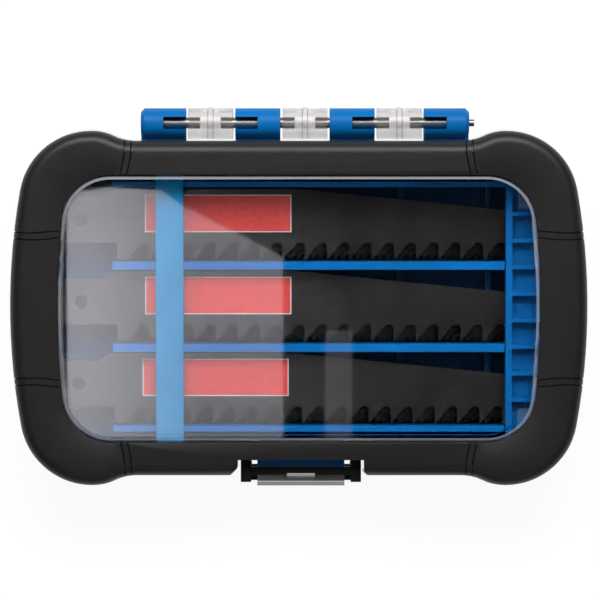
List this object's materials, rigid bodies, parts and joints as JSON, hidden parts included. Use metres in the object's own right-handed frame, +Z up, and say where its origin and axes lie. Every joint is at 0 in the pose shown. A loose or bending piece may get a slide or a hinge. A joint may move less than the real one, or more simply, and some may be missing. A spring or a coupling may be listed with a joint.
{
  "type": "saw blade storage case",
  "caption": "Flat clamshell case with a clear window lid, soft bumper, pinned hinge, snap latch and keeper bar over rows of saw blades.",
  "frame": {"origin": "middle of the base's flat underside, under the middle of the case without its hinge", "axes": "+X along the rows towards the blade tips, +Y towards the hinge, +Z up through the lid"},
  "size_m": [0.1632, 0.1071, 0.028],
  "materials": {
    "base_plastic": "satin moulded polypropylene, blue",
    "clear_plastic": "clear moulded polycarbonate",
    "bumper_rubber": "soft-touch overmoulded elastomer, black",
    "pin_steel": "drawn steel rod",
    "latch_plastic": "black moulded nylon",
    "keeper_plastic": "satin moulded polypropylene, bright blue",
    "blade_steel": "black-coated carbon steel"
  },
  "bodies": {
    "base": {"base_shell": "base_plastic", "tip_cover": "base_plastic", "hinge_pin": "pin_steel", "blade_row1_1": "blade_steel", "blade_row1_2": "blade_steel", "blade_row1_3": "blade_steel", "blade_row2_1": "blade_steel", "blade_row2_2": "blade_steel", "blade_row2_3": "blade_steel", "blade_row3_1": "blade_steel", "blade_row3_2": "blade_steel", "blade_row3_3": "blade_steel"},
    "lid": {"lid_shell": "clear_plastic", "lid_bumper": "bumper_rubber"},
    "latch": {"latch": "latch_plastic"},
    "keeper": {"keeper_bar": "keeper_plastic"}
  },
  "joints": [
    {"name": "lid_hinge", "type": "hinge", "parent": "base", "child": "lid", "pos_m": [0.0016, 0.05213, 0.018], "axis": [-1, 0, 0], "range_deg": [0, 180]},
    {"name": "latch_pivot", "type": "hinge", "parent": "base", "child": "latch", "pos_m": [0.0006, -0.0471, 0.0052], "axis": [1, 0, 0], "range_deg": [0, 95]},
    {"name": "keeper_hinge", "type": "hinge", "parent": "base", "child": "keeper", "pos_m": [-0.0366, 0.0403, 0.0151], "axis": [-1, 0, 0], "range_deg": [0, 100]}
  ],
  "couplings": [
    {"joint": "keeper_hinge", "follows": "lid_hinge", "ratio": 0.55}
  ]
}
